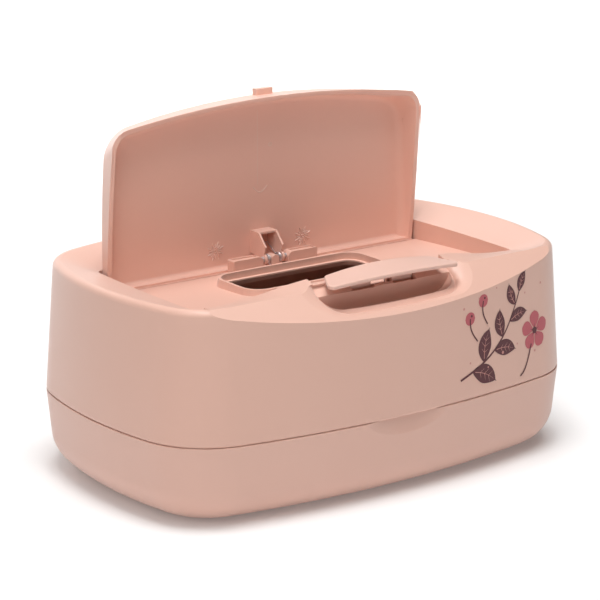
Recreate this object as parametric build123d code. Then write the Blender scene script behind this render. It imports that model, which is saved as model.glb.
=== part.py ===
"""Baby wipes box: tub, cover, sprung flap lid and rocking release button.

Millimetres. Origin at the middle of the resting face, X to the right, Y to the back, Z up.
The lid is modelled in its closed position and then swung up to stand open.
"""
import os

from build123d import *
from math import atan, atan2, cos, degrees, radians, sin

# Overall body
BODY_HALF_LENGTH = 120.0
BODY_HALF_WIDTH = 79.2
BODY_TOP = 99.8
SEAM_HEIGHT = 38.8
SIDE_BOW = 10.5
FRONT_BOW = 13.5
BODY_CORNER = 37.5
COVER_DRAFT = 3.7
TOP_HALF_LENGTH = BODY_HALF_LENGTH - COVER_DRAFT
TOP_SIDE_BOW = 13.5
TOP_FRONT_BOW = 16.6
TOP_CORNER = 31.1
TOP_EDGE_ROUND = 3.0
DISH_CORNER_LESS = 7.0
WALL = 2.2

# Tub
PAD_PROUD = 0.8
PAD_THICKNESS = 1.8
PAD_RADIUS = 7.0
PAD_END_INSET = 50.0
PAD_X = BODY_HALF_LENGTH - PAD_END_INSET
PAD_SIDE_INSET = 44.0
PAD_Y = BODY_HALF_WIDTH - PAD_SIDE_INSET
TUB_DRAFT = 3.2
TUB_BOTTOM_ROUND = 18.8
TONGUE_HEIGHT = 5.0
TONGUE_WALL = 1.6
TONGUE_GAP = 0.7
TONGUE_ROOT = 4.5
TONGUE_OVERLAP = 0.2
TUB_EDGE_ROUND = 0.5
COVER_EDGE_ROUND = 1.4
DIP_HALF_WIDTH = 42.0
DIP_REACH = 9.0
DIP_HALF_HEIGHT = 16.0
DIP_DEPTH = 2.0

# Sloped front of the cover
CREST_INSET = 16.7
CREST_Y = CREST_INSET - BODY_HALF_WIDTH
CREST_DROP = 0.85
CREST_Z = BODY_TOP - CREST_DROP
FACET_ANGLE = 34.63

# Sunken deck
END_RIM = 24.4
RECESS_HALF_LENGTH = TOP_HALF_LENGTH - END_RIM
FRONT_RIM = 8.7
RECESS_FRONT = CREST_Y + FRONT_RIM
RECESS_SIDE_BOW = 1.5
RECESS_FRONT_BOW = 7.6
RECESS_CORNER = 8.5
RECESS_REAR_CORNER = 3.0
DECK_DEPTH = 13.85
DECK_MIDDLE = BODY_TOP - DECK_DEPTH
DECK_SLOPE = -0.035
DECK_RISE = 0.95
DECK_HIGHEST = DECK_MIDDLE + DECK_RISE
RIM_FALL = 5.3
RIM_INNER_Z = BODY_TOP - RIM_FALL
HINGE_INSET = 52.2
HINGE_Y = BODY_HALF_WIDTH - HINGE_INSET
HINGE_RISE = 4.05
HINGE_Z = DECK_MIDDLE + HINGE_RISE
TROUGH_STEP = 4.5
TROUGH_FRONT = HINGE_Y + TROUGH_STEP
TROUGH_DROP = 7.6
TROUGH_FLOOR = HINGE_Z - TROUGH_DROP

# Raised middle of the front rim: part of the half length, depth behind the deck's front edge,
# height there over the body's top, height at the crest over the body's top
RIM_STATIONS = [
    (0.0, 4.3, 3.9, -0.3),
    (0.413, 4.3, 3.8, -0.4),
    (0.5, 4.3, 2.5, -0.5),
    (0.587, 4.5, 0.8, -0.6),
    (0.675, 5.0, -0.9, -0.7),
    (0.783, 5.8, -2.4, -0.8),
    (0.87, 8.3, -3.4, -1.0),
    (0.957, 13.8, -4.8, -1.2),
]
RIM_BAND_INSET = 0.1
RIM_BAND_HEIGHT = 8.0
RIM_BAND_FRONT = CREST_Y + RIM_BAND_INSET

# Scooped finger recess
RIDGE_THICKNESS = 1.5
RIDGE_RISE = 0.8
RIDGE_TOP = BODY_TOP + RIDGE_RISE
SCOOP_HALF = 37.5
SCOOP_REACH = 9.9
SCOOP_FRONT = CREST_Y - SCOOP_REACH
SCOOP_DEPTH = 12.4
SCOOP_FLOOR = BODY_TOP - SCOOP_DEPTH
SCOOP_CORNER = 11.0
SCOOP_RIM_DROP = 2.6
SCOOP_RIM = BODY_TOP - SCOOP_RIM_DROP
SCOOP_STEEPEST = 78.0
SCOOP_STEPS = 5
SCOOP_BACK_REACH = 6.0
BOWL_CORNER = 9.6
CHAMBER_HALF = 18.2
CHAMBER_REACH = 4.2
CHAMBER_WALL = 1.0
CHAMBER_DEPTH = 2.6
NOTCH_DEPTH = 4.1
NOTCH_BOTTOM = BODY_TOP - NOTCH_DEPTH
SNAP_WIDTH = 1.8
SLOT_RUN = 5.0
CHAMBER_REAR = RECESS_FRONT - RIDGE_THICKNESS
CHAMBER_FRONT = CHAMBER_REAR - CHAMBER_REACH
SCOOP_REAR = CHAMBER_FRONT - CHAMBER_WALL
# Flared lip of the scoop: depth under the slope, then how much wider, further forward and
# rounder than the scoop itself
FLARE = [
    (-1.2, 18.5, 7.6, 11.0),
    (0.0, 10.0, 4.4, 7.0),
    (0.9, 4.5, 2.4, 4.0),
    (2.2, 1.5, 1.0, 2.0),
    (3.6, 0.2, 0.2, 0.5),
]

# Collar round the dispensing opening
COLLAR_HALF_LENGTH = 42.0
COLLAR_TO_HINGE = 8.2
COLLAR_REAR = HINGE_Y - COLLAR_TO_HINGE
COLLAR_WIDTH = 35.8
COLLAR_FRONT = COLLAR_REAR - COLLAR_WIDTH
COLLAR_RISE = 3.35
COLLAR_TOP = DECK_MIDDLE + COLLAR_RISE
COLLAR_FLARE = 1.0
COLLAR_CORNER = 10.0
COLLAR_LIP = 1.4
LEDGE_RISE = 0.1
LEDGE_Z = DECK_MIDDLE + LEDGE_RISE
LEDGE_WIDTH = 2.0
SLOT_EDGE = 0.7
SLOT_UNDERCUT = 2.6

# Lid, in its closed position
LID_GAP = 0.7
LID_HALF_LENGTH = RECESS_HALF_LENGTH - LID_GAP
LID_FRONT_GAP = 1.7
LID_FRONT = RECESS_FRONT + LID_FRONT_GAP
LID_BEHIND_HINGE = 6.0
LID_REAR = HINGE_Y + LID_BEHIND_HINGE
LID_REAR_ROUND = 5.0
LID_REAR_INNER_ROUND = 1.6
LID_SIDE_BOW = 1.5
LID_FRONT_BOW = 7.6
LID_CORNER = 8.5
LID_RUN_OUT = 47.0
LID_CROWN_SIDE_BOW = 3.0
LID_CROWN_FRONT_BOW = 10.0
LID_CROWN_CORNER = 17.0
LID_OVER_HINGE = 13.0
LID_TOP = HINGE_Z + LID_OVER_HINGE
LID_WALL = 2.0
LID_EDGE_ROUND = 3.0
LID_INNER_ROUND = 4.0
LID_FRONT_DRAFT = 1.1
LID_SIDE_DRAFT = 3.0
LID_EDGE_SLOPE = 0.0866
LID_DECK_GAP = 0.8
LID_EDGE_FRONT = DECK_HIGHEST + LID_DECK_GAP
LID_STEP = 0.8
LID_OPENING_ANGLE = 90.0
TAB_HALF = 4.7
TAB_REACH = 2.3
TAB_DROP = 6.8
TAB_THICKNESS = 3.4
TAB_BOTTOM = LID_TOP - TAB_DROP
TAB_TOP = TAB_BOTTOM + TAB_THICKNESS
RECESS_REAR_GAP = 0.4
RECESS_REAR = HINGE_Y + LID_OVER_HINGE + RECESS_REAR_GAP

# Spring bracket under the lid and the hinge
BRACKET_HALF = 5.5
BRACKET_WALL = 1.0
BRACKET_REACH = 12.2
BRACKET_WEB_DROP = 7.0
BRACKET_LIP_FORWARD = 1.6
CHEEK_RADIUS = 2.5
PIN_RADIUS = 1.3
PIN_CLEARANCE = 0.05
PIN_HALF_LENGTH = 20.5
BLOCK_INNER = 7.4
BLOCK_OUTER = 24.3
BLOCK_FORWARD = 3.0
BLOCK_FRONT = HINGE_Y - BLOCK_FORWARD
BLOCK_BACK = 2.6
BLOCK_REAR = HINGE_Y + BLOCK_BACK
BLOCK_RISE = 2.3
BLOCK_TOP = HINGE_Z + BLOCK_RISE
BLOCK_POCKET = 0.7
BLOCK_RIM = 0.9
BLOCK_END_ROUND = 2.6
KNUCKLE_HALF = 2.1
KNUCKLE_DEPTH = 2.6
KNUCKLE_RISE = 1.9
KNUCKLE_TOP = HINGE_Z + KNUCKLE_RISE

# Lid spring
SPRING_WIRE = 0.3
SPRING_COIL = 2.1
SPRING_TURNS = 2.25
SPRING_INNER = 2.6
SPRING_OUTER = 4.0
SPRING_BRIDGE_HEIGHT = 5.2
SPRING_BRIDGE_GAP = 1.0
SPRING_TOE_REACH = 5.4

# Release button
PLATE_GAP = 0.9
PLATE_REAR = RECESS_FRONT - PLATE_GAP
PLATE_REACH = 14.9
PLATE_FRONT = PLATE_REAR - PLATE_REACH
PLATE_REAR_HALF = 29.8
PLATE_FRONT_HALF = 38.0
PLATE_REAR_RISE = 6.0
PLATE_REAR_Z = BODY_TOP + PLATE_REAR_RISE
PLATE_FRONT_RISE = 3.7
PLATE_FRONT_Z = BODY_TOP + PLATE_FRONT_RISE
PLATE_REAR_DROP = 2.3
PLATE_FRONT_DROP = 1.1
PLATE_THICKNESS = 1.8
PLATE_CORNER = 2.5
PLATE_EDGE_ROUND = 0.5
BUTTON_AXIS_INSET = 3.4
BUTTON_AXIS_Y = RECESS_FRONT - BUTTON_AXIS_INSET
BUTTON_AXIS_DEPTH = 15.4
BUTTON_AXIS_Z = BODY_TOP - BUTTON_AXIS_DEPTH
BUTTON_PIN_RADIUS = 1.0
BEARING_DEPTH = 4.8
BUTTON_PIN_HALF = CHAMBER_HALF + BEARING_DEPTH
LEG_INNER = 6.0
LEG_GAP = 0.7
LEG_OUTER = CHAMBER_HALF - LEG_GAP
LEG_THICKNESS = 1.6
LEG_EYE_RADIUS = 1.8
NOSE_HALF = 4.0
NOSE_GAP = 0.8
NOSE_BOTTOM = TAB_TOP + NOSE_GAP
NOSE_INSET = 1.1
NOSE_REAR = RECESS_FRONT - NOSE_INSET
NOSE_THICKNESS = 1.6
BUTTON_SPRING_WIRE = 0.25
BUTTON_SPRING_COIL = 1.5
BUTTON_SPRING_HALF = 2.4
BUTTON_SPRING_TURNS = 6.5
BUTTON_SPRING_START = 25.0
BUTTON_SPRING_GAP = 0.1
BUTTON_SPRING_HEEL = 2.0

FAR = 400.0


def outline(half, front, rear, side_bow, front_bow, rear_bow, front_round, rear_round):
    """Flat outline of four bowed sides with rounded corners."""
    middle = (front + rear) / 2
    left, right = side_bow - half, half - side_bow
    near, far = front + front_bow, rear - rear_bow
    with BuildSketch() as sketch:
        with BuildLine():
            ThreePointArc((left, near), (0, front), (right, near))
            ThreePointArc((right, near), (half, middle), (right, far))
            ThreePointArc((right, far), (0, rear), (left, far))
            ThreePointArc((left, far), (-half, middle), (left, near))
        make_face()
        fillet(sketch.vertices().group_by(Axis.Y)[0], front_round)
        fillet(sketch.vertices().group_by(Axis.Y)[-1], rear_round)
    return sketch.sketch


def body_outline(inset, at_top):
    """Outline of the box at the seam or at the top, drawn in by inset."""
    half = (TOP_HALF_LENGTH if at_top else BODY_HALF_LENGTH) - inset
    side = TOP_SIDE_BOW if at_top else SIDE_BOW
    front = TOP_FRONT_BOW if at_top else FRONT_BOW
    corner = (TOP_CORNER if at_top else BODY_CORNER) - inset
    width = BODY_HALF_WIDTH - inset
    return outline(half, -width, width, side, front, front, corner, corner)


def raised(sketch, height):
    """The sketch's face lifted to a height."""
    return Pos(0, 0, height) * sketch


def slab(x0, x1, y0, y1, z0, z1):
    """Box between two corners."""
    return Pos((x0 + x1) / 2, (y0 + y1) / 2, (z0 + z1) / 2) * Box(x1 - x0, y1 - y0, z1 - z0)


def rod(radius, x0, x1, y, z):
    """Round bar along X."""
    return Pos((x0 + x1) / 2, y, z) * Rot(0, 90, 0) * Cylinder(radius, x1 - x0)


def plate_along_x(points, x0, x1):
    """Polygon of (y, z) points made thick between two X stations."""
    wire = Polyline(*[(x0, y, z) for y, z in points], close=True)
    return extrude(make_face(wire), amount=x1 - x0, dir=(1, 0, 0))


def deck_height(y):
    """Height of the deck at a depth."""
    return DECK_MIDDLE + DECK_SLOPE * y


def half_space(y, z, angle, above):
    """Everything above or below a plane through (y, z) that rises to the back at an angle."""
    side = Align.MIN if above else Align.MAX
    big = Box(FAR, FAR, FAR, align=(Align.CENTER, Align.CENTER, side))
    return Pos(0, y, z) * Rot(angle, 0, 0) * big


def tub_solid(inset, bottom, bottom_round):
    """The tub's shape filled in, drawn in by inset."""
    half = BODY_HALF_LENGTH - TUB_DRAFT - inset
    width = BODY_HALF_WIDTH - TUB_DRAFT - inset
    corner = BODY_CORNER - TUB_DRAFT - inset
    low = outline(half, -width, width, SIDE_BOW, FRONT_BOW, FRONT_BOW, corner, corner)
    high = body_outline(inset, False)
    body = loft([raised(low, bottom).face(), raised(high, SEAM_HEIGHT).face()], ruled=True)
    return fillet(body.edges().group_by(Axis.Z)[0], bottom_round)


def finger_dip(grow):
    """Flattened ball that leaves a shallow dip under the seam at the front."""
    ball = scale(Sphere(1), by=(DIP_HALF_WIDTH + grow, DIP_REACH + grow, DIP_HALF_HEIGHT + grow))
    return Pos(0, DIP_DEPTH - BODY_HALF_WIDTH - DIP_REACH, SEAM_HEIGHT) * ball


def ring(outer_inset, inner_inset, bottom, top):
    """Upright band that follows the seam outline."""
    outer = extrude(raised(body_outline(outer_inset, False), bottom), amount=top - bottom)
    return outer - extrude(raised(body_outline(inner_inset, False), bottom), amount=top - bottom)


def pad(x, y, clearance):
    """Round pad under the tub, or with a clearance the pocket that it sits in."""
    return Pos(x, y, PAD_THICKNESS / 2) * Cylinder(PAD_RADIUS + clearance, PAD_THICKNESS)


def base_tub():
    """Lower container with a tongue that locates the cover."""
    tub = tub_solid(0, PAD_PROUD, TUB_BOTTOM_ROUND)
    tub = fillet(tub.edges().group_by(Axis.Z)[-1], TUB_EDGE_ROUND)
    tub -= finger_dip(0)
    hollow = tub_solid(WALL, PAD_PROUD + WALL, TUB_BOTTOM_ROUND - WALL)
    tub -= hollow - finger_dip(WALL)
    tongue_face = WALL + TONGUE_GAP
    tongue_back = tongue_face + TONGUE_WALL
    tub += ring(WALL - TONGUE_OVERLAP, tongue_back, SEAM_HEIGHT - TONGUE_ROOT, SEAM_HEIGHT)
    tub += ring(tongue_face, tongue_back, SEAM_HEIGHT, SEAM_HEIGHT + TONGUE_HEIGHT)
    for x in (-PAD_X, PAD_X):
        for y in (-PAD_Y, PAD_Y):
            tub -= pad(x, y, PIN_CLEARANCE)
    return tub


def cover_solid(inset, top):
    """The cover's shape filled in, drawn in by inset."""
    low = raised(body_outline(inset, False), SEAM_HEIGHT).face()
    high = raised(body_outline(inset, True), top).face()
    body = loft([low, high], ruled=True)
    return fillet(body.edges().group_by(Axis.Z)[-1], TOP_EDGE_ROUND - inset / 2)


def recess_outline(grow):
    """Outline of the sunken deck."""
    return outline(
        RECESS_HALF_LENGTH + grow,
        RECESS_FRONT - grow,
        RECESS_REAR + grow,
        RECESS_SIDE_BOW,
        RECESS_FRONT_BOW,
        0.2,
        RECESS_CORNER + grow,
        RECESS_REAR_CORNER + grow,
    )


def rim_dish(drop):
    """Space over the rim, which falls from the crest to the edge of the deck's well."""
    inset = TOP_EDGE_ROUND + 0.2
    crest = outline(
        TOP_HALF_LENGTH - inset,
        CREST_Y,
        BODY_HALF_WIDTH - inset,
        TOP_SIDE_BOW,
        0.6,
        TOP_FRONT_BOW - 0.6,
        TOP_CORNER - DISH_CORNER_LESS,
        TOP_CORNER - inset,
    )
    low = raised(recess_outline(0), RIM_INNER_Z - drop).face()
    high = raised(crest, BODY_TOP - drop).face()
    dish = loft([low, high], ruled=True)
    return dish + extrude(raised(crest, BODY_TOP - drop), amount=drop + 1)


def rim_section(part, behind, back, front):
    """Upright slice through the front rim at a part of the deck's half length."""
    x = part * RECESS_HALF_LENGTH
    y = RECESS_FRONT + behind
    floor = BODY_TOP - RIM_BAND_HEIGHT
    points = [(x, RIM_BAND_FRONT, floor), (x, RIM_BAND_FRONT, BODY_TOP + front)]
    points += [(x, y, BODY_TOP + back), (x, y, floor)]
    return make_face(Polyline(*points, close=True)).face()


def front_rim():
    """Rim in front of the deck, raised in the middle."""
    left = [(-part, *rest) for part, *rest in reversed(RIM_STATIONS[1:])]
    return loft([rim_section(*station) for station in left + RIM_STATIONS])


def recess_prism(grow):
    """Upright space inside the recess outline."""
    return extrude(raised(recess_outline(grow), TROUGH_FLOOR - grow), amount=FAR / 8)


def recess_space(grow):
    """Space over the deck and in the trough behind it."""
    angle = degrees(atan(DECK_SLOPE))
    prism = recess_prism(grow)
    space = prism & half_space(0, DECK_MIDDLE - grow, angle, True)
    trough = slab(-FAR, FAR, TROUGH_FRONT - grow, FAR, TROUGH_FLOOR - grow, BODY_TOP)
    space += prism & trough
    if grow == 0:
        space += prism & slab(-FAR, FAR, -FAR, TROUGH_FRONT, DECK_HIGHEST, BODY_TOP)
    return space


def scoop_flare():
    """Smoothly widening mouth of the finger recess, drawn on planes along the slope."""
    slope = radians(FACET_ANGLE)
    sections = []
    for depth, wider, forward, rounder in FLARE:
        y = CREST_Y + depth * sin(slope)
        z = CREST_Z - depth * cos(slope)
        down = (y - SCOOP_FRONT + forward) / cos(slope)
        plane = Plane(origin=(0, y, z), x_dir=(1, 0, 0), z_dir=(0, -sin(slope), cos(slope)))
        corner = SCOOP_CORNER + rounder
        mouth = outline(SCOOP_HALF + wider, -down, SCOOP_BACK_REACH, 0.3, 2.5, 0.3, corner, 1.0)
        sections.append((plane * mouth).face())
    return loft(sections)


def scoop_bowl(grow):
    """Smooth hollow for a fingertip in front of the button's chamber."""
    reach = SCOOP_REAR - SCOOP_FRONT
    depth = (SCOOP_RIM - SCOOP_FLOOR + grow) / sin(radians(SCOOP_STEEPEST))
    sections = []
    for step in range(SCOOP_STEPS + 1):
        angle = radians(SCOOP_STEEPEST * step / SCOOP_STEPS)
        part = cos(angle)
        inset = reach * (1 - part) - grow
        front, back = SCOOP_FRONT + inset, SCOOP_REAR + reach - inset
        corner = BOWL_CORNER * part + grow
        half = SCOOP_HALF - inset
        area = outline(half, front, back, 0.3 * part, 2.5 * part, 0.2 * part, corner, corner)
        sections.append(raised(area, SCOOP_RIM - depth * sin(angle)).face())
    bowl = loft(sections) + extrude(sections[0], amount=FAR / 8, dir=(0, 0, 1))
    return bowl & slab(-FAR, FAR, -FAR, SCOOP_REAR + grow, 0, FAR)


def button_chamber():
    """Space behind the scoop where the button's legs rock on their pin, open from below."""
    bottom = BUTTON_AXIS_Z - CHAMBER_DEPTH - WALL
    half = CHAMBER_HALF
    chamber = slab(-half, half, CHAMBER_FRONT, CHAMBER_REAR, bottom, FAR)
    for side in (-1, 1):
        x0, x1 = sorted((side * (LEG_INNER - LEG_GAP), side * CHAMBER_HALF))
        chamber += slab(x0, x1, SCOOP_REAR - WALL, CHAMBER_REAR, NOTCH_BOTTOM, FAR)
    half = BUTTON_PIN_HALF + PIN_CLEARANCE
    y0, y1 = BUTTON_AXIS_Y - SNAP_WIDTH / 2, BUTTON_AXIS_Y + SNAP_WIDTH / 2
    chamber += slab(-half, half, y0, y1, bottom, BUTTON_AXIS_Z)
    bore = BUTTON_PIN_RADIUS + PIN_CLEARANCE
    return chamber + rod(bore, -half, half, BUTTON_AXIS_Y, BUTTON_AXIS_Z)


def cover_hollow():
    """Space inside the cover, kept a wall away from everything above it."""
    hollow = cover_solid(WALL, BODY_TOP - WALL)
    hollow -= half_space(CREST_Y, CREST_Z - WALL, FACET_ANGLE, True)
    hollow -= rim_dish(WALL)
    hollow -= recess_space(WALL)
    mouth = half_space(CREST_Y, CREST_Z - 3 * WALL, FACET_ANGLE, True)
    half = SCOOP_HALF + FLARE[1][1]
    floor = SCOOP_FLOOR - WALL
    hollow -= mouth & slab(-half, half, -BODY_HALF_WIDTH, RECESS_FRONT, floor, BODY_TOP)
    hollow -= scoop_bowl(WALL)
    half = BUTTON_PIN_HALF + WALL
    floor = BUTTON_AXIS_Z - CHAMBER_DEPTH
    return hollow - slab(-half, half, SCOOP_REAR, RECESS_FRONT, floor, BODY_TOP)


def collar_outline(inset):
    """Outline of the collar's top, drawn in by inset."""
    corner = COLLAR_CORNER - inset
    half = COLLAR_HALF_LENGTH - inset
    return outline(half, COLLAR_FRONT + inset, COLLAR_REAR - inset, 0.4, 0.6, 0.2, corner, corner)


def collar():
    """Raised wall round the dispensing opening."""
    low = raised(collar_outline(-COLLAR_FLARE), deck_height(COLLAR_REAR) - 1).face()
    high = raised(collar_outline(0), COLLAR_TOP).face()
    return loft([low, high], ruled=True)


def collar_opening():
    """Space inside the collar, a narrow ledge and the thin-edged slot through the deck."""
    high = extrude(raised(collar_outline(COLLAR_LIP), LEDGE_Z), amount=FAR / 20)
    inset = COLLAR_LIP + LEDGE_WIDTH
    slot = extrude(raised(collar_outline(inset), LEDGE_Z), amount=-SLOT_EDGE)
    top = LEDGE_Z - SLOT_EDGE
    wide = raised(collar_outline(inset - SLOT_UNDERCUT), top - 2 * WALL).face()
    funnel = loft([wide, raised(collar_outline(inset), top).face()], ruled=True)
    return high + slot + funnel


def hinge_block(side):
    """Block on the deck that holds one end of the hinge pin."""
    x0, x1 = sorted((side * BLOCK_INNER, side * BLOCK_OUTER))
    block = slab(x0, x1, BLOCK_FRONT, BLOCK_REAR, DECK_MIDDLE - WALL, BLOCK_TOP)
    tops = block.edges().filter_by(Axis.Y).group_by(Axis.Z)[-1].sort_by(Axis.X)
    inner, outer = (tops[0], tops[-1]) if side > 0 else (tops[-1], tops[0])
    block = fillet(inner, BLOCK_END_ROUND)
    tops = block.edges().filter_by(Axis.Y).group_by(Axis.Z)[-1].sort_by(Axis.X)
    block = fillet(tops[-1] if side > 0 else tops[0], BLOCK_POCKET)
    x0, x1 = sorted((side * (BLOCK_INNER + BLOCK_END_ROUND), side * (BLOCK_OUTER - BLOCK_RIM)))
    y0, y1 = BLOCK_FRONT + BLOCK_RIM, BLOCK_REAR - BLOCK_RIM
    return block - slab(x0, x1, y0, y1, BLOCK_TOP - BLOCK_POCKET, FAR)


def knuckle():
    """Arched support for the middle of the hinge pin."""
    half, depth = KNUCKLE_HALF, KNUCKLE_DEPTH
    arch = slab(-half, half, HINGE_Y - depth, HINGE_Y + depth, DECK_MIDDLE - WALL, KNUCKLE_TOP)
    return fillet(arch.edges().filter_by(Axis.Y).group_by(Axis.Z)[-1], half - 0.2)


def top_cover():
    """Upper shell with the rim, the deck, the collar and the bearings moulded in."""
    cover = cover_solid(0, BODY_TOP)
    cover = fillet(cover.edges().group_by(Axis.Z)[0], COVER_EDGE_ROUND)
    cover -= rim_dish(0)
    cover += front_rim()
    cover -= half_space(CREST_Y, CREST_Z, FACET_ANGLE, True)
    cover -= cover_hollow()
    cover -= recess_space(0)
    cover -= scoop_flare()
    cover -= scoop_bowl(0)
    cover -= button_chamber()
    cover -= slab(-SCOOP_HALF, SCOOP_HALF, CREST_Y, RECESS_FRONT + SLOT_RUN, RIDGE_TOP, FAR)
    slot_half = TAB_HALF + LID_GAP
    rear = RECESS_FRONT + SLOT_RUN
    cover -= slab(-slot_half, slot_half, CHAMBER_FRONT, rear, TAB_BOTTOM - LID_GAP, FAR)
    cover += collar()
    cover -= collar_opening()
    cover += knuckle()
    for side in (-1, 1):
        cover += hinge_block(side)
    pin_end = PIN_HALF_LENGTH + PIN_CLEARANCE
    cover -= rod(PIN_RADIUS + PIN_CLEARANCE, -pin_end, pin_end, HINGE_Y, HINGE_Z)
    return cover


def lid_outline(inset):
    """Outline of the lid drawn in by inset, and running on past its rear face."""
    return outline(
        LID_HALF_LENGTH - inset,
        LID_FRONT + inset,
        LID_REAR + LID_RUN_OUT,
        LID_SIDE_BOW,
        LID_FRONT_BOW,
        0.2,
        LID_CORNER - inset,
        LID_CORNER - inset,
    )


def lid_crown(inset):
    """Outline of the lid's outer face, with rounder corners than its free edge has."""
    return outline(
        LID_HALF_LENGTH - LID_SIDE_DRAFT - inset,
        LID_FRONT + LID_FRONT_DRAFT + inset,
        LID_REAR + LID_RUN_OUT,
        LID_CROWN_SIDE_BOW,
        LID_CROWN_FRONT_BOW,
        0.2,
        LID_CROWN_CORNER - inset,
        LID_CROWN_CORNER - inset,
    )


def lid_solid(inset, edge_round, rear_round):
    """The lid's shape filled in, drawn in by inset, with its top edges rounded."""
    bottom = LID_EDGE_FRONT - LID_WALL
    low = raised(lid_outline(inset), bottom).face()
    high = raised(lid_crown(inset), LID_TOP - inset).face()
    body = loft([low, high], ruled=True)
    body = fillet(body.edges().group_by(Axis.Z)[-1], edge_round)
    half, rear = LID_HALF_LENGTH + 1, LID_REAR - inset
    keep = slab(-half, half, LID_FRONT - 1, rear, bottom, LID_TOP - inset)
    edge = keep.edges().filter_by(Axis.X).group_by(Axis.Z)[-1].sort_by(Axis.Y)[-1]
    return body & fillet(edge, rear_round)


def swung_open(shape):
    """A shape in the closed lid's position turned up to the open one."""
    return shape.rotate(Axis((0, HINGE_Y, HINGE_Z), (1, 0, 0)), -LID_OPENING_ANGLE)


def lid_bracket():
    """Spring pocket on the inside of the open lid, with cheeks that turn on the pin."""
    inner_face = HINGE_Y + LID_OVER_HINGE - LID_WALL
    root = inner_face + LID_WALL / 3
    top = HINGE_Z + BRACKET_REACH
    web_front = inner_face - BRACKET_WEB_DROP
    profile = [
        (root, top),
        (web_front, top),
        (HINGE_Y - BRACKET_LIP_FORWARD, HINGE_Z + BRACKET_REACH / 2),
        (HINGE_Y - BRACKET_LIP_FORWARD / 4, HINGE_Z + CHEEK_RADIUS / 2),
        (HINGE_Y + CHEEK_RADIUS / 2, HINGE_Z),
        (root, HINGE_Z + CHEEK_RADIUS / 2),
    ]
    bracket = slab(-BRACKET_HALF, BRACKET_HALF, web_front, root, top - BRACKET_WALL, top)
    for x0 in (-BRACKET_HALF, BRACKET_HALF - BRACKET_WALL):
        x1 = x0 + BRACKET_WALL
        bracket += plate_along_x(profile, x0, x1)
        bracket += rod(CHEEK_RADIUS, x0, x1, HINGE_Y, HINGE_Z)
    bore = PIN_RADIUS + PIN_CLEARANCE
    return bracket - rod(bore, -BRACKET_HALF, BRACKET_HALF, HINGE_Y, HINGE_Z)


def lid():
    """Flap lid standing open, with a skirt, a stepped edge, a catch tab and the bracket."""
    angle = degrees(atan(LID_EDGE_SLOPE))
    flap = lid_solid(0, LID_EDGE_ROUND, LID_REAR_ROUND)
    flap -= lid_solid(LID_WALL, LID_INNER_ROUND, LID_REAR_INNER_ROUND)
    flap -= half_space(LID_FRONT, LID_EDGE_FRONT, angle, False)
    inner = extrude(raised(lid_outline(LID_WALL / 2), LID_EDGE_FRONT), amount=LID_TOP)
    inner &= half_space(LID_REAR - LID_WALL / 2, LID_EDGE_FRONT, 90, True)
    flap -= inner & half_space(LID_FRONT, LID_EDGE_FRONT + LID_STEP, angle, False)
    root = LID_FRONT + LID_FRONT_DRAFT + LID_WALL / 2
    flap += slab(-TAB_HALF, TAB_HALF, LID_FRONT - TAB_REACH, root, TAB_BOTTOM, TAB_TOP)
    return swung_open(flap) + lid_bracket()


def rod_between(start, end, radius):
    """Straight piece of wire with round ends."""
    line = Line(start, end)
    bar = sweep(Plane(origin=start, z_dir=line % 0) * Circle(radius), path=line)
    return bar + Pos(*start) * Sphere(radius) + Pos(*end) * Sphere(radius)


def coil(wire, radius, x0, x1, turns, y, z, start_angle):
    """Coil along X from x0 to x1 round an axis at (y, z), with its start and end points."""
    width = x1 - x0
    path = Helix(width / turns, width, radius, center=(x0, y, z), direction=(1, 0, 0))
    begin = path @ 0
    turn = start_angle - degrees(atan2(begin.Z - z, begin.Y - y))
    path = path.rotate(Axis((0, y, z), (1, 0, 0)), turn)
    section = Plane(origin=path @ 0, z_dir=path % 0) * Circle(wire)
    return sweep(section, path=path, is_frenet=True), tuple(path @ 0), tuple(path @ 1)


def lid_spring():
    """Double torsion spring on the hinge pin, with a bridge inside the lid's bracket."""
    bridge_z = HINGE_Z + SPRING_BRIDGE_HEIGHT
    bridge_y = HINGE_Y + LID_OVER_HINGE - LID_WALL - SPRING_BRIDGE_GAP
    toe_y = HINGE_Y - SPRING_TOE_REACH
    toe_z = deck_height(toe_y) + SPRING_WIRE
    spring = rod_between(
        (-SPRING_OUTER, bridge_y, bridge_z), (SPRING_OUTER, bridge_y, bridge_z), SPRING_WIRE
    )
    half, begin, end = coil(
        SPRING_WIRE, SPRING_COIL, SPRING_INNER, SPRING_OUTER, SPRING_TURNS, HINGE_Y, HINGE_Z, -90
    )
    half += rod_between(end, (SPRING_OUTER, bridge_y, bridge_z), SPRING_WIRE)
    half += rod_between(begin, (SPRING_INNER, toe_y, toe_z), SPRING_WIRE)
    return spring + half + mirror(half, about=Plane.YZ)


def plate_section(y, half, height, drop):
    """Upright slice of the button's arched plate."""
    low = height - PLATE_THICKNESS
    with BuildSketch(Plane(origin=(0, y, 0), x_dir=(1, 0, 0), z_dir=(0, -1, 0))) as sketch:
        with BuildLine():
            ThreePointArc((-half, height - drop), (0, height), (half, height - drop))
            Line((half, height - drop), (half, low - drop))
            ThreePointArc((half, low - drop), (0, low), (-half, low - drop))
            Line((-half, low - drop), (-half, height - drop))
        make_face()
    return sketch.sketch.face()


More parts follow.
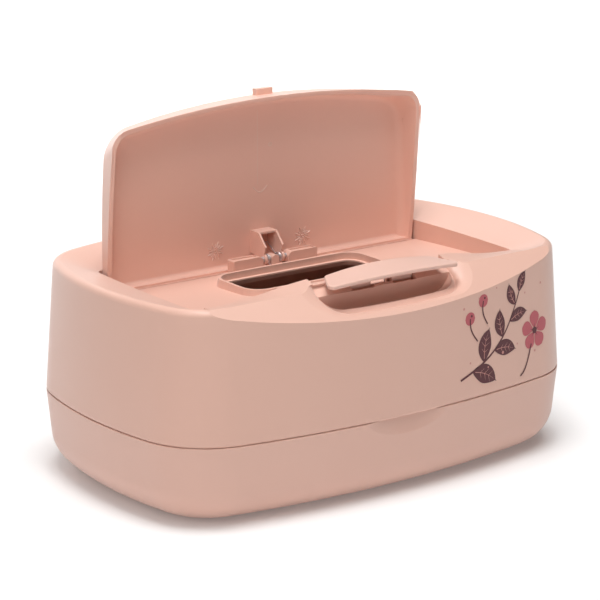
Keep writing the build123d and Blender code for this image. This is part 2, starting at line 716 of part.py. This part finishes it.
def release_button():
    """Arched push plate on two legs that rock on a pin, with a nose over the lid's tab."""
    rear = plate_section(PLATE_REAR, PLATE_REAR_HALF, PLATE_REAR_Z, PLATE_REAR_DROP)
    front = plate_section(PLATE_FRONT, PLATE_FRONT_HALF, PLATE_FRONT_Z, PLATE_FRONT_DROP)
    plate = loft([rear, front], ruled=True)
    plate = fillet(plate.edges().filter_by(Axis.Z), PLATE_CORNER)
    plate = fillet(plate.edges().group_by(SortBy.LENGTH)[-1], PLATE_EDGE_ROUND)
    leg_top = PLATE_FRONT_Z - 0.2
    y0, y1 = BUTTON_AXIS_Y - LEG_THICKNESS / 2, BUTTON_AXIS_Y + LEG_THICKNESS / 2
    button = plate
    for side in (-1, 1):
        x0, x1 = sorted((side * LEG_INNER, side * LEG_OUTER))
        button += slab(x0, x1, y0, y1, BUTTON_AXIS_Z, leg_top)
        button += rod(LEG_EYE_RADIUS, x0, x1, BUTTON_AXIS_Y, BUTTON_AXIS_Z)
    button += slab(
        -NOSE_HALF, NOSE_HALF, NOSE_REAR - NOSE_THICKNESS, NOSE_REAR, NOSE_BOTTOM, leg_top + 0.8
    )
    bore = BUTTON_PIN_RADIUS + PIN_CLEARANCE
    return button - rod(bore, -BUTTON_PIN_HALF, BUTTON_PIN_HALF, BUTTON_AXIS_Y, BUTTON_AXIS_Z)


def button_spring():
    """Torsion spring on the button's pin, between the chamber's rear wall and the nose."""
    half, wire = BUTTON_SPRING_HALF, BUTTON_SPRING_WIRE
    spring, begin, end = coil(
        wire,
        BUTTON_SPRING_COIL,
        -half,
        half,
        BUTTON_SPRING_TURNS,
        BUTTON_AXIS_Y,
        BUTTON_AXIS_Z,
        BUTTON_SPRING_START,
    )
    heel_y = CHAMBER_REAR - wire - BUTTON_SPRING_GAP
    toe_y = NOSE_REAR - NOSE_THICKNESS - wire - BUTTON_SPRING_GAP
    spring += rod_between(begin, (-half, heel_y, BUTTON_AXIS_Z - BUTTON_SPRING_HEEL), wire)
    return spring + rod_between(end, (half, toe_y, NOSE_BOTTOM + LEG_GAP), wire)


def foot(side_x, side_y):
    """One soft pad under the tub."""
    body = pad(side_x * PAD_X, side_y * PAD_Y, 0)
    return fillet(body.edges().group_by(Axis.Z)[0], 0.4)


def hinge_pin():
    """Steel pin of the lid."""
    return rod(PIN_RADIUS, -PIN_HALF_LENGTH, PIN_HALF_LENGTH, HINGE_Y, HINGE_Z)


def button_pin():
    """Steel pin of the button."""
    return rod(BUTTON_PIN_RADIUS, -BUTTON_PIN_HALF, BUTTON_PIN_HALF, BUTTON_AXIS_Y, BUTTON_AXIS_Z)


NODES = {
    "base_tub": base_tub,
    "top_cover": top_cover,
    "lid": lid,
    "hinge_pin": hinge_pin,
    "lid_spring": lid_spring,
    "release_button": release_button,
    "button_pin": button_pin,
    "button_spring": button_spring,
    "foot_front_left": lambda: foot(-1, -1),
    "foot_front_right": lambda: foot(1, -1),
    "foot_rear_left": lambda: foot(-1, 1),
    "foot_rear_right": lambda: foot(1, 1),
}

os.makedirs("parts", exist_ok=True)
for name, build in NODES.items():
    export_step(build(), f"parts/{name}.step")
    print(name)
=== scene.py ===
# %% [markdown]
# # Dressing a baby wipes box
#
# The box arrives as a frame: solid shells, pins and springs, each in its real place. This lesson
# gives them their looks. There are five kinds of surface on it: satin moulded plastic, drawn steel
# wire, soft pads, an ink print on the front and small marks that the mould left inside the lid.
#
# The solids could be modelled again here with more polygons, but they fit and move as they are. So
# they stay untouched, and the lesson only adds finishes, ink, marks, a floor, lights and a camera.
#
# Everything is in metres. X runs to the right, Y to the back and Z up.

import random
from math import atan2, cos, degrees, pi, radians, sin, sqrt

import bpy
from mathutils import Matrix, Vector
from mathutils.bvhtree import BVHTree


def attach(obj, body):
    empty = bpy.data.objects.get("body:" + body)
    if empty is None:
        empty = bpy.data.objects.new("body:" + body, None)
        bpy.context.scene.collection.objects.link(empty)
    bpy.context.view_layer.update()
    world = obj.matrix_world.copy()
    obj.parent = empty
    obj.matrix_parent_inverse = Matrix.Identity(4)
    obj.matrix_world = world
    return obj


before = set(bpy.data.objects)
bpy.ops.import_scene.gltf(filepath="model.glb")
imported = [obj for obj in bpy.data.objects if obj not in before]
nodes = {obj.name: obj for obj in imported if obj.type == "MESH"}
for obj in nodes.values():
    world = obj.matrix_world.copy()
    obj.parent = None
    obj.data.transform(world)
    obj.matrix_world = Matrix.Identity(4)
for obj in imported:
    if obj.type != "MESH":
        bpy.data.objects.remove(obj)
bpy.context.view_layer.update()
MM = 0.001
print("nodes:", ", ".join(sorted(nodes)))

# %% [markdown]
# ## Writing shader maths as sums
#
# A finish is a graph of nodes. It could be wired by hand, socket by socket, but a formula is
# easier to read and to change. The class below wraps one socket. Adding or multiplying two of them
# adds the Math node that does it, and the reflected forms make `1 - mask` work as well.


# %% A socket that does sums
class Signal:
    """One socket of a finish, which can be used in a formula."""

    def __init__(self, finish, socket):
        self.finish = finish
        self.socket = socket

    def _sum(self, operation, first, second):
        return self.finish.node("ShaderNodeMath", {"operation": operation}, {0: first, 1: second})

    def __add__(self, other):
        return self._sum("ADD", self, other)

    def __radd__(self, other):
        return self._sum("ADD", other, self)

    def __sub__(self, other):
        return self._sum("SUBTRACT", self, other)

    def __rsub__(self, other):
        return self._sum("SUBTRACT", other, self)

    def __mul__(self, other):
        return self._sum("MULTIPLY", self, other)

    def __rmul__(self, other):
        return self._sum("MULTIPLY", other, self)


# %% [markdown]
# ## One finish, one builder
#
# Each finish is a Principled surface with its own graph in front of it. Every finish could build
# its nodes itself, but then the same lines would stand in the script again and again. The builder
# below keeps the material and makes every other node by one method: the node's type, then its
# settings, then what goes into its sockets. Values that are the same all over the surface are set
# on the shader itself, because an exported model keeps them only there.


# %% The finish builder
COLOUR_A, COLOUR_B, COLOUR_OUT = 6, 7, 2  # a Mix node's sockets for colours


class Finish:
    """A material and the graph in front of its Principled shader."""

    def __init__(self, name):
        self.material = bpy.data.materials.new(name)
        self.material.use_nodes = True
        self.tree = self.material.node_tree
        self.tree.nodes.clear()
        self.shader = self.tree.nodes.new("ShaderNodeBsdfPrincipled")
        output = self.tree.nodes.new("ShaderNodeOutputMaterial")
        self.tree.links.new(self.shader.outputs[0], output.inputs["Surface"])

    def feed(self, socket, value):
        """Puts a number, a colour or another socket into a socket."""
        if isinstance(value, Signal):
            self.tree.links.new(value.socket, socket)
        else:
            socket.default_value = value

    def node(self, kind, settings, values, output=0):
        """Adds a node, sets it up, fills its sockets and returns one of its outputs."""
        made = self.tree.nodes.new(kind)
        for key, value in settings.items():
            setattr(made, key, value)
        for key, value in values.items():
            self.feed(made.inputs[key], value)
        return Signal(self, made.outputs[output])

    def place(self):
        """Where a point is on the piece, in metres."""
        return self.node("ShaderNodeTexCoord", {}, {}, "Object")

    def noise(self, scale, detail=3.0, roughness=0.5):
        """Soft random pattern from 0 to 1, with about one blob every 1/scale metres."""
        values = {"Vector": self.place(), "Scale": scale, "Detail": detail, "Roughness": roughness}
        return self.node("ShaderNodeTexNoise", {}, values)

    def blend(self, factor, first, second):
        """Mix of two colours."""
        return self.node(
            "ShaderNodeMix",
            {"data_type": "RGBA"},
            {"Factor": factor, COLOUR_A: first, COLOUR_B: second},
            COLOUR_OUT,
        )

    def relief(self, height, depth, distance=0.0002):
        """Surface normal that follows a height pattern."""
        return self.node(
            "ShaderNodeBump", {}, {"Height": height, "Strength": depth, "Distance": distance}
        )

    def set(self, **values):
        """Fills the shader's own sockets, with underscores for the spaces in their names."""
        for name, value in values.items():
            self.feed(self.shader.inputs[name.replace("_", " ")], value)
        return self.material


def shade(red, green, blue):
    """A colour as a picture shows it, from 0 to 255, turned into light."""
    parts = []
    for value in (red, green, blue):
        v = value / 255
        parts.append(v / 12.92 if v <= 0.04045 else ((v + 0.055) / 1.055) ** 2.4)
    return (*parts, 1.0)


# %% [markdown]
# ## Satin moulded plastic
#
# All the shells come out of polished and finely sparked moulds in one dusty salmon pink. Up close
# such plastic is not one flat colour: pigment and flow make it drift by a percent or two, the
# sparked mould leaves a grain of a few tenths of a millimetre, and handling changes the gloss in
# places. A picture texture could carry that, but noise at four scales does it with no file and no
# unwrapping, and it never repeats. A little sheen stands for the pale bloom that sparked plastic
# shows where it turns away from the eye.


# %% Make the plastic
DRIFT_SCALE = 22.0  # blobs in a metre, here and below
HANDLED_SCALE = 60.0
SPECK_SCALE = 1500.0
SPARK_SCALE = 2600.0


def moulded_plastic(name, light, deep, grain, gloss):
    """Pink satin plastic with slow colour drift and a sparked grain."""
    finish = Finish(name)
    drift = finish.noise(DRIFT_SCALE, 2.0)
    speck = finish.noise(SPECK_SCALE, 2.0, 0.6)
    handled = finish.noise(HANDLED_SCALE, 3.0)
    spark = finish.noise(SPARK_SCALE, 4.0, 0.65)
    mottle = 0.72 * drift + 0.28 * speck
    tone = finish.blend(mottle, deep, light)
    return finish.set(
        Base_Color=tone,
        Roughness=gloss + 0.10 * handled + 0.06 * spark,
        Normal=finish.relief(spark + 0.35 * speck, grain),
        IOR=1.49,
        Specular_IOR_Level=0.65,
        Sheen_Weight=0.35,
        Sheen_Roughness=0.45,
    )


# %% Three batches of the same pink, and a lighter lid copy that is painted light
cover_pink = moulded_plastic("cover_pink", shade(228, 183, 165), shade(224, 178, 160), 0.16, 0.40)
tub_pink = moulded_plastic("tub_pink", shade(228, 184, 167), shade(224, 179, 162), 0.16, 0.42)
# The lid's pink is lighter than the cover's as painted light, for more light falling on the inside
# of the open lid.
lid_pink_painted_light = moulded_plastic("lid_pink_painted_light", shade(242, 196, 178), shade(237, 190, 172), 0.13, 0.38)
button_pink = moulded_plastic("button_pink", shade(231, 189, 173), shade(227, 184, 168), 0.12, 0.36)
print("pinks:", [batch.name for batch in (cover_pink, tub_pink, lid_pink_painted_light, button_pink)])

# %% [markdown]
# ## Drawn steel and soft pads
#
# Pins and springs are drawn wire: satin, with fine streaks from the die and slightly dull. Streaks
# could be cut into the mesh, but they are far finer than its facets. Noise that is stretched along
# X, the way the pins lie, gives them to the gloss and the surface normal instead.
#
# The pads under the tub are a soft rubbery compound with a pebbled skin. Nobody sees them unless
# the box is turned over, so two noises are enough: one for the pebbles and one for the dust.


# %% Make the steel and the pad compound
STRETCH = (0.06, 1.0, 1.0)
STREAK_SCALE = 5200.0
DULL_SCALE = 420.0
WORN_STEEL = shade(198, 190, 190)
STREAK_DEPTH = 0.00005


def drawn_steel(name, base):
    """Satin wire with fine streaks along X."""
    finish = Finish(name)
    stretched = finish.node("ShaderNodeMapping", {}, {"Vector": finish.place(), "Scale": STRETCH})
    streak = finish.node(
        "ShaderNodeTexNoise", {}, {"Vector": stretched, "Scale": STREAK_SCALE, "Detail": 3.0}
    )
    dull = finish.noise(DULL_SCALE, 3.0)
    return finish.set(
        Base_Color=finish.blend(dull, base, WORN_STEEL),
        Metallic=1.0,
        Roughness=0.44 + 0.14 * dull + 0.08 * streak,
        Normal=finish.relief(streak, 0.18, STREAK_DEPTH),
    )


PEBBLE_SCALE = 1800.0
DUST_SCALE = 160.0


def pad_compound(name):
    """Soft grey-pink pad with a pebbled skin."""
    finish = Finish(name)
    pebble = finish.noise(PEBBLE_SCALE, 2.0)
    dust = finish.noise(DUST_SCALE, 4.0)
    return finish.set(
        Base_Color=finish.blend(dust, shade(176, 160, 152), shade(190, 176, 168)),
        Roughness=0.72 + 0.15 * dust,
        Normal=finish.relief(pebble, 0.4),
    )


pin_steel = drawn_steel("drawn_pin_wire", shade(226, 220, 220))
spring_steel = drawn_steel("drawn_spring_wire", shade(228, 218, 220))
pad_grey = pad_compound("pad_grey")

# %% [markdown]
# ## Which piece wears which finish
#
# On the real box each piece comes from its own mould or wire, and meets the others only when it is
# put together. The finishes could be set by hand on each piece. One list does the same, and shows
# at a glance what every piece is made of. What isn't in the list is one of the four pads.

# %% Put the finishes on the nodes
WEARS = {
    "base_tub": tub_pink,
    "top_cover": cover_pink,
    "lid": lid_pink_painted_light,
    "release_button": button_pink,
    "hinge_pin": pin_steel,
    "button_pin": pin_steel,
    "lid_spring": spring_steel,
    "button_spring": spring_steel,
}
for name, piece in nodes.items():
    piece.data.materials.clear()
    piece.data.materials.append(WEARS.get(name, pad_grey))
    print(name, "wears", piece.data.materials[0].name)

# %% [markdown]
# ## A print that lies on a curved wall
#
# The front carries a small printed design: a sprig with leaves, a blossom on its stalk, two berries
# and a few dots, in burgundy and rose. Pad printing lays a film of ink on the plastic. A flat decal
# would cut through the bowed wall, and a picture texture isn't needed, because every motif here is
# a ribbon: a path with a width along it. A stem is a long thin ribbon, a leaf a short one that
# swells in the middle, a berry one whose width follows a circle.
#
# Each point of a ribbon is drawn on an upright sheet in front of the box, in millimetres across and
# up, and then pushed straight back until it meets the wall. The first layer of ink stays 0.10 mm in
# front of the plastic and the second one 0.16 mm, so that veins and hearts lie over leaves and
# petals.


# %% Find the wall behind a point
def wall_finder(node):
    """Search tree over a node's faces, in the frame's own metres."""
    mesh = nodes[node].data
    place = nodes[node].matrix_world
    corners = [place @ vertex.co for vertex in mesh.vertices]
    return BVHTree.FromPolygons(corners, [tuple(face.vertices) for face in mesh.polygons])


def on_wall(tree, across, up, start, lift):
    """Point on the first face behind (across, up), in millimetres, lifted off it by lift."""
    hit, normal, _, _ = tree.ray_cast(Vector((across * MM, start * MM, up * MM)), Vector((0, 1, 0)))
    if normal.y > 0:
        normal = -normal
    return hit + normal * lift * MM


cover_wall = wall_finder("top_cover")
IN_FRONT = -200.0
print("wall behind the print:", [round(c, 4) for c in on_wall(cover_wall, 57, 66, IN_FRONT, 0)])


# %% Follow a path
LOOK = 0.01


def square_to(path, t):
    """Unit vector square to a path at t, from the points a little before and after it."""
    ahead = Vector(path(min(t + LOOK, 1.0))) - Vector(path(max(t - LOOK, 0.0)))
    return Vector((-ahead.y, ahead.x)).normalized()


def two_lanes(first, steps):
    """Faces between three rows of points that run side by side, from the point numbered first."""
    starts = [first + 3 * step + lane for step in range(steps) for lane in (0, 1)]
    return [(a, a + 1, a + 4, a + 3) for a in starts]


def one_piece(name, points, faces, finish):
    """Object with one finish, from its points in metres and its faces."""
    mesh = bpy.data.meshes.new(name)
    mesh.from_pydata(points, [], faces)
    mesh.materials.append(finish)
    piece = bpy.data.objects.new(name, mesh)
    bpy.context.scene.collection.objects.link(piece)
    print(name, "has", len(faces), "faces")
    return piece


# %% Draw with ribbons
class Ink:
    """Ribbons of one colour, gathered into one thin piece."""

    def __init__(self, name, finish, lift):
        self.name = name
        self.finish = finish
        self.lift = lift
        self.points = []
        self.faces = []

    def ribbon(self, path, half_width, steps):
        """Adds a strip along path(t) with half_width(t) on both sides, for t from 0 to 1."""
        self.faces += two_lanes(len(self.points), steps)
        for step in range(steps + 1):
            t = step / steps
            side = square_to(path, t) * half_width(t)
            middle = Vector(path(t))
            for point in (middle - side, middle, middle + side):
                self.points.append(on_wall(cover_wall, point.x, point.y, IN_FRONT, self.lift))

    def disc(self, across, up, radius):
        """Adds a round dot."""
        swell = lambda t: radius * sqrt(max(0.0, 1 - (2 * t - 1) ** 2))
        self.ribbon(lambda t: (across + radius * (2 * t - 1), up), swell, 14)

    def lay(self):
        """Makes the piece and lets it ride on the cover."""
        piece = one_piece(self.name, self.points, self.faces, self.finish)
        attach(piece, "cover")


# %% [markdown]
# ## Ink
#
# Ink lies flatter than the sparked plastic and shines a little more. It isn't even either: it thins
# out in tiny specks where the pad lifted. The film could be made see-through there, but the plastic
# hardly shows through, so a fine noise between a full and a thin tone of the ink looks the same and
# keeps the piece solid.


# %% Make the inks
INK_SPECK_SCALE = 2600.0
INK_CLOUD_SCALE = 240.0
INK_DEPTH = 0.00005


def printed_ink(name, full, thin):
    """Film of ink with faint specks."""
    finish = Finish(name)
    speck = finish.noise(INK_SPECK_SCALE, 3.0, 0.7)
    cloud = finish.noise(INK_CLOUD_SCALE, 2.0)
    return finish.set(
        Base_Color=finish.blend(0.7 * speck + 0.3 * cloud, full, thin),
        Roughness=0.36 + 0.12 * cloud,
        Normal=finish.relief(speck, 0.10, INK_DEPTH),
        Specular_IOR_Level=0.4,
    )


BURGUNDY = printed_ink("burgundy_ink", shade(84, 34, 42), shade(98, 46, 50))
ROSE = printed_ink("rose_ink", shade(186, 82, 92), shade(196, 100, 106))
BLUSH = printed_ink("blush_ink", shade(206, 138, 128), shade(212, 150, 140))
print("inks:", [ink.name for ink in (BURGUNDY, ROSE, BLUSH)])

# %% [markdown]
# ## The sprig
#
# The stem bends up to the right, and leaves grow from it by turns on both sides. They could be
# drawn one by one as outlines. But a printed sprig is regular: each leaf is a little shorter than
# the one before and leans as the stem does there, so one function and a loop draw them all. Each
# leaf follows its own slightly bent midline, then gets a light midrib and side veins as a second
# layer.

# %% Draw the sprig
FIRST_LAYER = 0.10
SECOND_LAYER = 0.16
leaves = Ink("print_sprig", BURGUNDY, FIRST_LAYER)
veins = Ink("print_veins", BLUSH, SECOND_LAYER)
STEM_FOOT = Vector((31.0, 49.0))
STEM_TIP = Vector((70.0, 84.0))
STEM_BEND = 7.0
SIDE_LEAVES = 6
VEIN_PLACES = (0.28, 0.45, 0.62)


def stem(t):
    """Point of the stem, which sags to the right of the straight line."""
    straight = STEM_FOOT.lerp(STEM_TIP, t)
    side = Vector((STEM_TIP.y - STEM_FOOT.y, STEM_FOOT.x - STEM_TIP.x)).normalized()
    return straight + side * STEM_BEND * sin(pi * t)


def leaf(root, angle, length, width):
    """Pointed leaf with its midrib and three pairs of side veins."""
    along = Vector((cos(radians(angle)), sin(radians(angle))))
    side = Vector((-along.y, along.x))
    midline = lambda t: root + along * length * t + side * 0.08 * length * sin(pi * t)
    swell = lambda t: width * sin(pi * min(t * 1.06, 1.0)) ** 0.8 + 0.05
    leaves.ribbon(midline, swell, 16)
    veins.ribbon(lambda t: midline(0.10 + 0.76 * t), lambda t: 0.16 * (1.2 - t), 10)
    for place in VEIN_PLACES:
        for turn in (-1, 1):
            start = midline(place)
            reach = (along * 0.75 + side * turn) * swell(place) * 0.62
            veins.ribbon(lambda t: start + reach * t, lambda t: 0.11 * (1.3 - t), 3)


leaves.ribbon(stem, lambda t: 0.55 - 0.25 * t, 40)
for number in range(SIDE_LEAVES):
    along_stem = 0.14 + 0.15 * number
    heading = stem(along_stem + 0.02) - stem(along_stem - 0.02)
    lean = degrees(atan2(heading.y, heading.x))
    turn = 50 if number % 2 else -46
    leaf(stem(along_stem), lean + turn, 17.5 - 1.1 * number, 4.5 - 0.35 * number)
leaf(stem(1.0), 62, 10.5, 2.7)
leaves.lay()
veins.lay()

# %% [markdown]
# ## Blossom, berries and dots
#
# Five rounded petals turn round a dark middle, and the berries stand on short bent stalks. A petal
# could be a circle, but a ribbon that starts narrow and ends round looks more like one. The dots
# could be placed by hand. A seeded generator scatters them more freely, and still drops them in the
# same places on every run.

# %% Draw the blossom, the berries and the dots
petals = Ink("print_petals", ROSE, FIRST_LAYER)
hearts = Ink("print_hearts", BURGUNDY, SECOND_LAYER)
dots = Ink("print_dots", BLUSH, FIRST_LAYER)
BLOSSOM = Vector((81.5, 63.0))
PETALS = 5
PETAL_LENGTH = 8.6
PETAL_WIDTH = 3.5
BERRY_RADIUS = 3.1
DOTS = 11


def petal(angle):
    """Petal that is narrow at the heart and round at its end."""
    along = Vector((cos(radians(angle)), sin(radians(angle))))
    width = lambda t: PETAL_WIDTH * sin(pi * t ** 1.5) ** 0.6 if 0 < t < 1 else 0.02
    petals.ribbon(lambda t: BLOSSOM + along * (0.9 + PETAL_LENGTH * t), width, 14)
    hearts.ribbon(lambda t: BLOSSOM + along * (1.2 + 2.4 * t), lambda t: 0.16 * (1.2 - t), 3)


def berry(across, up, foot):
    """Round berry on a bent stalk."""
    top = Vector((across, up))
    bend = lambda t: foot.lerp(top, t) + Vector((-1.6 * sin(pi * t), 0))
    hearts.ribbon(bend, lambda t: 0.36, 12)
    petals.disc(across, up, BERRY_RADIUS)
    hearts.disc(across + 0.9, up + 1.2, 0.6)


for number in range(PETALS):
    petal(90 + 360 / PETALS * number)
hearts.disc(BLOSSOM.x, BLOSSOM.y, 1.6)
hearts.ribbon(lambda t: Vector((71 + 8 * t, 43 + 14 * t - 3 * sin(pi * t))), lambda t: 0.4, 14)
berry(36.5, 77.5, Vector((41.5, 66.0)))
berry(45.0, 84.5, Vector((48.0, 73.0)))
scatter = random.Random(7)
for number in range(DOTS):
    across = 33 + 5.3 * number + scatter.uniform(-1.5, 1.5)
    up = (56 if number % 2 else 86) + scatter.uniform(-4.5, 4.5)
    dots.disc(across, up, scatter.uniform(0.4, 0.75))
petals.lay()
hearts.lay()
dots.lay()

# %% [markdown]
# ## Marks that the mould left in the lid
#
# Inside the lid, beside the hinge, moulded boxes carry small round marks. Here they are plain suns
# of raised rays with a ring in the middle. Over the bracket there is a flow arc, a very low upright
# line and a small ring. Each ray or line is a little roof: two feet on the plastic and a ridge over
# them, from a twentieth to four tenths of a millimetre high. A bump map could draw them too, but it
# would stay flat from the side. A raised roof catches the light as real relief does.


# %% Build little roofs
lid_wall = wall_finder("lid")
ROOF_FEET = -0.02


class Relief:
    """Small raised roofs on the inside of the lid, gathered into one piece."""

    def __init__(self, name):
        self.name = name
        self.points = []
        self.faces = []

    def roof(self, path, half_width, height, steps):
        """Adds a ridge along path(t), with its feet on the lid."""
        first = len(self.points)
        last = first + 3 * steps
        for step in range(steps + 1):
            t = step / steps
            side = square_to(path, t) * half_width
            middle = Vector(path(t))
            across = ((middle - side, ROOF_FEET), (middle, height), (middle + side, ROOF_FEET))
            for point, lift in across:
                self.points.append(on_wall(lid_wall, point.x, point.y, 0.0, lift))
        self.faces += two_lanes(first, steps)
        self.faces += [(end, end + 1, end + 2) for end in (first, last)]

    def circle(self, across, up, radius, half_width, height):
        """Adds a round ridge."""
        ring = lambda t: (across + radius * cos(2 * pi * t), up + radius * sin(2 * pi * t))
        self.roof(ring, half_width, height, 24)

    def raise_up(self, finish):
        """Makes the piece and lets it ride on the flap."""
        piece = one_piece(self.name, self.points, self.faces, finish)
        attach(piece, "flap")


# %% Raise the marks
# The marks get a paler pink than the lid as painted highlight, for the light that the raised rays
# and rings catch.
mark_pink_painted_highlight = moulded_plastic("mark_pink_painted_highlight", shade(240, 204, 188), shade(234, 196, 180), 0.05, 0.34)
SUN_X = 25.6
SUN_Z = 94.8
RAYS = 16
HUB, SHORT_RAY, LONG_RAY = 1.5, 3.5, 4.7
for side, name in ((-1, "mark_sun_left"), (1, "mark_sun_right")):
    sun = Relief(name)
    for number in range(RAYS):
        way = 2 * pi * number / RAYS
        tip = LONG_RAY if number % 2 else SHORT_RAY
        ray = lambda t: (
            side * SUN_X + (HUB + (tip - HUB) * t) * cos(way),
            SUN_Z + (HUB + (tip - HUB) * t) * sin(way),
        )
        sun.roof(ray, 0.30, 0.42, 2)
    sun.circle(side * SUN_X, SUN_Z, 0.75, 0.25, 0.35)
    sun.raise_up(mark_pink_painted_highlight)

flow = Relief("mark_flow_arc")
arc = lambda t: (-3.6 + 8.2 * t, 123.0 - 3.0 * sin(pi * t))
upright = lambda t: (-0.9, 124.0 + 36.0 * t)
flow.roof(arc, 0.32, 0.22, 16)
flow.roof(upright, 0.22, 0.05, 12)
flow.circle(6.4, 142.8, 0.8, 0.3, 0.18)
flow.raise_up(mark_pink_painted_highlight)

# %% [markdown]
# ## The floor
#
# The box stands on a plain pale sweep, as in a small studio. One large plane is enough for it,
# since its end is far out of the picture. It could be lit from above alone, but then it would go
# grey with distance. So it glows a little near the box and more further off, as a sweep does under
# lamps of its own. That also keeps the lower walls from going dull.


# %% Lay the floor
FLOOR_HALF = 30.0
GLOW_START = 0.8  # metres from the middle of the box
GLOW_RISE = 0.6  # how fast the glow grows from there, in each metre


def sweep_floor():
    """Large pale plane under the box."""
    finish = Finish("floor_white")
    soft = finish.noise(3.0, 2.0)
    tone = finish.blend(soft, (0.83, 0.83, 0.83, 1), (0.85, 0.85, 0.85, 1))
    away = finish.node("ShaderNodeVectorMath", {"operation": "LENGTH"}, {0: finish.place()}, 1)
    far = finish.node("ShaderNodeClamp", {}, {"Value": (away - GLOW_START) * GLOW_RISE})
    glow = finish.blend(far, (0.12, 0.119, 0.118, 1), (0.9, 0.9, 0.9, 1))
    white = finish.set(
        Base_Color=tone, Roughness=0.9 + 0.05 * soft, Emission_Color=glow, Emission_Strength=1.0
    )
    near, beyond = -FLOOR_HALF, FLOOR_HALF
    corners = [(near, near, 0), (beyond, near, 0), (beyond, beyond, 0), (near, beyond, 0)]
    floor = one_piece("floor", corners, [(0, 1, 2, 3)], white)


sweep_floor()

# %% [markdown]
# ## The lights
#
# The soft shadows and the nearly white top call for large soft boxes and not for small lamps. A
# bright world all round would be simpler, but it flattens the shadows in the scoop and under the
# lid. So a broad box above and a little in front, with a smaller one beside it, makes the top
# surfaces bright and leaves the walls in an even mid tone. A weaker one on the left shapes the long
# front. A wide one far behind gives the rims their pale edge. A narrow beam falls only on the floor
# behind the box, so that the ground stays white up to the top of the picture.


# %% Hang the lights
def soft_light(name, where, aim, size, power, spread=180):
    """Square soft box at a place, turned to a point, with its light held to a spread in degrees."""
    lamp = bpy.data.lights.new(name, "AREA")
    lamp.shape = "SQUARE"
    lamp.size = size
    lamp.energy = power
    lamp.spread = radians(spread)
    holder = bpy.data.objects.new(name, lamp)
    holder.location = where
    holder.rotation_euler = (Vector(aim) - Vector(where)).to_track_quat("-Z", "Y").to_euler()
    bpy.context.scene.collection.objects.link(holder)
    print(name, "gives", power, "W")


BOX_MIDDLE = Vector((0.0, 0.0, 0.08))
FLOOR_BEHIND = Vector((0.55, 1.15, 0.0))
soft_light("top_box", (-0.1, -0.30, 1.4), BOX_MIDDLE, 0.9, 12.0)
soft_light("top_spot", (-0.1, -0.06, 1.2), BOX_MIDDLE, 0.4, 6.0)
soft_light("left_box", (-0.9, -0.6, 0.9), BOX_MIDDLE, 0.8, 4.0)
soft_light("back_wash", (0.5, 2.2, 0.75), BOX_MIDDLE, 2.4, 30.0)
soft_light("sweep_wash", (0.55, 1.15, 1.5), FLOOR_BEHIND, 0.8, 7.0, 60)

# %% Leave a trace of light in the air
world = bpy.data.worlds.new("studio_air")
world.use_nodes = True
air = world.node_tree.nodes["Background"].inputs
air["Color"].default_value = (1.0, 0.99, 0.98, 1)
air["Strength"].default_value = 0.03
bpy.context.scene.world = world
bpy.context.scene.view_settings.view_transform = "Standard"

# %% [markdown]
# ## The camera
#
# The picture is taken from the front left and a little above, from more than a metre away, so the
# edges of the box run together only slightly. The camera could be placed by eye. Here its place and
# lens come from fitting the corners of the box to a picture of it, which shows every part where it
# should be. Everything is sharp, as in a product picture.

# %% Set up the camera
EYE = Vector((-0.6697, -0.9201, 0.3931))
TARGET = Vector((-0.00335, 0.0, 0.07555))
lens = bpy.data.cameras.new("camera")
lens.lens = 150.05
lens.sensor_width = 36.0
lens.clip_start = 0.01
lens.clip_end = 100.0
camera = bpy.data.objects.new("camera", lens)
camera.location = EYE
camera.rotation_euler = (TARGET - EYE).to_track_quat("-Z", "Y").to_euler()
bpy.context.scene.collection.objects.link(camera)
bpy.context.scene.camera = camera
print("camera is", round((TARGET - EYE).length, 3), "m away")
